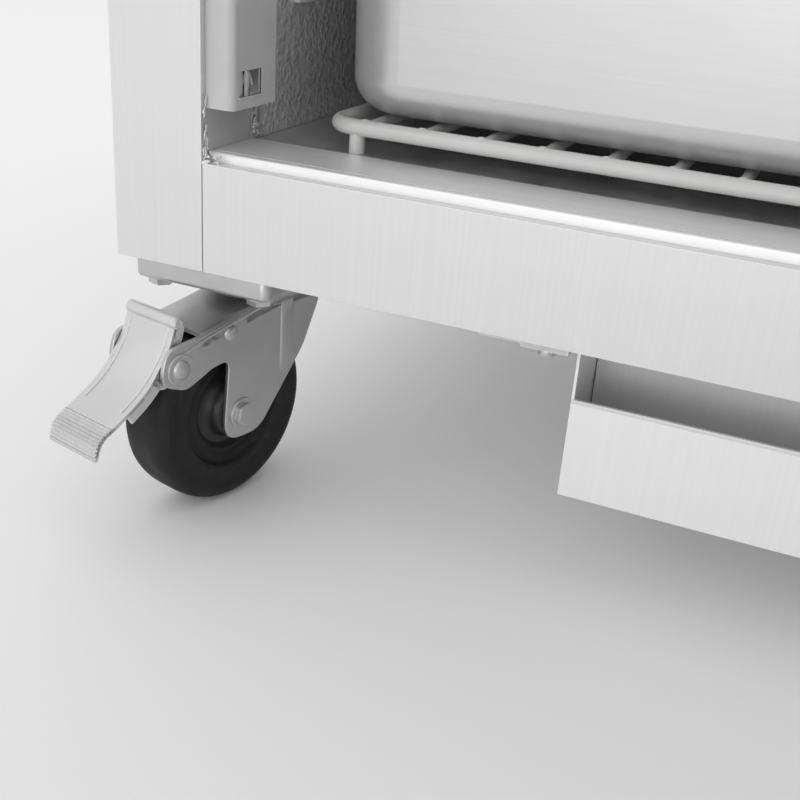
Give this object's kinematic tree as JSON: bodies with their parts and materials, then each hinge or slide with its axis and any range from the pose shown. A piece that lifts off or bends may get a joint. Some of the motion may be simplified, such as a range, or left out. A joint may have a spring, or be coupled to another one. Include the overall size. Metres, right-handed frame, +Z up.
{
  "type": "sandwich prep table",
  "caption": "Free-standing sandwich prep table with an open hinged door, a lidded pan rail, a cutting board and braked swivel casters.",
  "frame": {"origin": "on the floor, under the middle of the cabinet body", "axes": "+X to the cook's right, +Y from the front to the back, +Z up"},
  "size_m": [0.703, 1.4223, 1.0266],
  "materials": {
    "brushed_stainless": "brushed",
    "pan_steel": "satin",
    "zinc_plate": "satin",
    "pedal_steel": "satin",
    "black_rubber": "matte",
    "black_plastic": "matte",
    "stucco_aluminium": "embossed",
    "coated_wire": "satin",
    "grey_plastic": "matte",
    "board_plastic": "matte",
    "grey_gasket": "matte",
    "foam": "matte",
    "fin_aluminium": "satin",
    "white_steel": "satin",
    "black_steel": "gloss"
  },
  "bodies": {
    "cabinet": {"base_panel": "brushed_stainless", "bottom_rail": "brushed_stainless", "caster_pads": "zinc_plate", "compressor": "black_steel", "condenser": "fin_aluminium", "condenser_shroud": "white_steel", "control_panel": "black_plastic", "cutting_board": "board_plastic", "drain_clip": "zinc_plate", "evaporator_coil": "fin_aluminium", "evaporator_cover": "white_steel", "floor_rack": "coated_wire", "foam_body": "foam", "food_pan_1": "pan_steel", "food_pan_2": "pan_steel", "food_pan_3": "pan_steel", "header_rail": "brushed_stainless", "hinge_brackets": "zinc_plate", "hood_rear": "brushed_stainless", "intake_box": "brushed_stainless", "jamb_channel": "grey_plastic", "lid_hinges": "zinc_plate", "liner_floor": "stucco_aluminium", "liner_left": "stucco_aluminium", "liner_rear": "stucco_aluminium", "liner_right": "stucco_aluminium", "pan_well": "brushed_stainless", "power_inlet": "black_plastic", "rear_panel": "brushed_stainless", "shelf_pilasters": "white_steel", "side_panel_left": "brushed_stainless", "side_panel_right": "brushed_stainless", "stile_left": "brushed_stainless", "stile_right": "brushed_stainless", "storage_pan": "pan_steel", "threshold_strip": "grey_plastic", "wire_shelf": "coated_wire", "worktop": "brushed_stainless"},
    "door": {"door_body": "brushed_stainless", "door_liner": "grey_plastic", "door_gasket": "grey_gasket"},
    "lid": {"lid": "brushed_stainless", "lid_handle": "brushed_stainless"},
    "swivel_front_left": {"caster_fork_front_left": "zinc_plate"},
    "wheel_front_left": {"caster_tyre_front_left": "black_rubber", "caster_hub_front_left": "black_plastic"},
    "brake_front_left": {"brake_pedal_front_left": "pedal_steel"},
    "swivel_front_right": {"caster_fork_front_right": "zinc_plate"},
    "wheel_front_right": {"caster_tyre_front_right": "black_rubber", "caster_hub_front_right": "black_plastic"},
    "brake_front_right": {"brake_pedal_front_right": "pedal_steel"},
    "swivel_rear_left": {"caster_fork_rear_left": "zinc_plate"},
    "wheel_rear_left": {"caster_wheel_rear_left": "black_rubber"},
    "swivel_rear_right": {"caster_fork_rear_right": "zinc_plate"},
    "wheel_rear_right": {"caster_wheel_rear_right": "black_rubber"},
    "evaporator_fan": {"evaporator_fan": "black_plastic"},
    "condenser_fan": {"condenser_fan": "black_plastic"},
    "set_key": {"set_key": "grey_plastic"},
    "defrost_key": {"defrost_key": "grey_plastic"},
    "power_switch": {"power_switch": "black_plastic"}
  },
  "joints": [
    {"name": "door_hinge", "type": "hinge", "parent": "cabinet", "child": "door", "pos_m": [0.328, -0.3863, 0.45], "axis": [0, 0, 1], "range_deg": [-90, 20]},
    {"name": "lid_hinge", "type": "hinge", "parent": "cabinet", "child": "lid", "pos_m": [0, 0.126, 1.0206], "axis": [-1, 0, 0], "range_deg": [0, 80]},
    {"name": "swivel_front_left", "type": "hinge", "parent": "cabinet", "child": "swivel_front_left", "pos_m": [-0.3055, -0.3, 0.1286], "axis": [0, 0, 1], "continuous": true},
    {"name": "roll_front_left", "type": "hinge", "parent": "swivel_front_left", "child": "wheel_front_left", "pos_m": [-0.31172, -0.32421, 0.05], "axis": [0.9686, -0.2487, 0], "continuous": true},
    {"name": "brake_front_left", "type": "hinge", "parent": "swivel_front_left", "child": "brake_front_left", "pos_m": [-0.32179, -0.36344, 0.0857], "axis": [0.9686, -0.2487, 0], "range_deg": [-16, 0]},
    {"name": "swivel_front_right", "type": "hinge", "parent": "cabinet", "child": "swivel_front_right", "pos_m": [0.3055, -0.3, 0.1286], "axis": [0, 0, 1], "continuous": true},
    {"name": "roll_front_right", "type": "hinge", "parent": "swivel_front_right", "child": "wheel_front_right", "pos_m": [0.30811, -0.32486, 0.05], "axis": [0.9945, 0.1045, 0], "continuous": true},
    {"name": "brake_front_right", "type": "hinge", "parent": "swivel_front_right", "child": "brake_front_right", "pos_m": [0.31235, -0.36514, 0.0857], "axis": [0.9945, 0.1045, 0], "range_deg": [-16, 0]},
    {"name": "swivel_rear_left", "type": "hinge", "parent": "cabinet", "child": "swivel_rear_left", "pos_m": [-0.3055, 0.3, 0.1286], "axis": [0, 0, 1], "continuous": true},
    {"name": "roll_rear_left", "type": "hinge", "parent": "swivel_rear_left", "child": "wheel_rear_left", "pos_m": [-0.30855, 0.27519, 0.05], "axis": [0.9925, -0.1219, 0], "continuous": true},
    {"name": "swivel_rear_right", "type": "hinge", "parent": "cabinet", "child": "swivel_rear_right", "pos_m": [0.3055, 0.3, 0.1286], "axis": [0, 0, 1], "continuous": true},
    {"name": "roll_rear_right", "type": "hinge", "parent": "swivel_rear_right", "child": "wheel_rear_right", "pos_m": [0.31155, 0.27574, 0.05], "axis": [0.9703, 0.2419, 0], "continuous": true},
    {"name": "evaporator_fan_spin", "type": "hinge", "parent": "cabinet", "child": "evaporator_fan", "pos_m": [0, 0.001, 0.6836], "axis": [0, 1, 0], "continuous": true},
    {"name": "condenser_fan_spin", "type": "hinge", "parent": "cabinet", "child": "condenser_fan", "pos_m": [-0.15, 0.27, 0.3286], "axis": [0, 1, 0], "continuous": true},
    {"name": "set_key_press", "type": "slide", "parent": "cabinet", "child": "set_key", "axis": [0, 1, 0], "range_m": [0, 0.0015], "stiffness_N_per_m": 300, "springref_m": -0.0005},
    {"name": "defrost_key_press", "type": "slide", "parent": "cabinet", "child": "defrost_key", "axis": [0, 1, 0], "range_m": [0, 0.0015], "stiffness_N_per_m": 300, "springref_m": -0.0005},
    {"name": "power_switch_rock", "type": "hinge", "parent": "cabinet", "child": "power_switch", "pos_m": [-0.134, -0.35, 0.8336], "axis": [1, 0, 0], "range_deg": [-12, 0]}
  ]
}
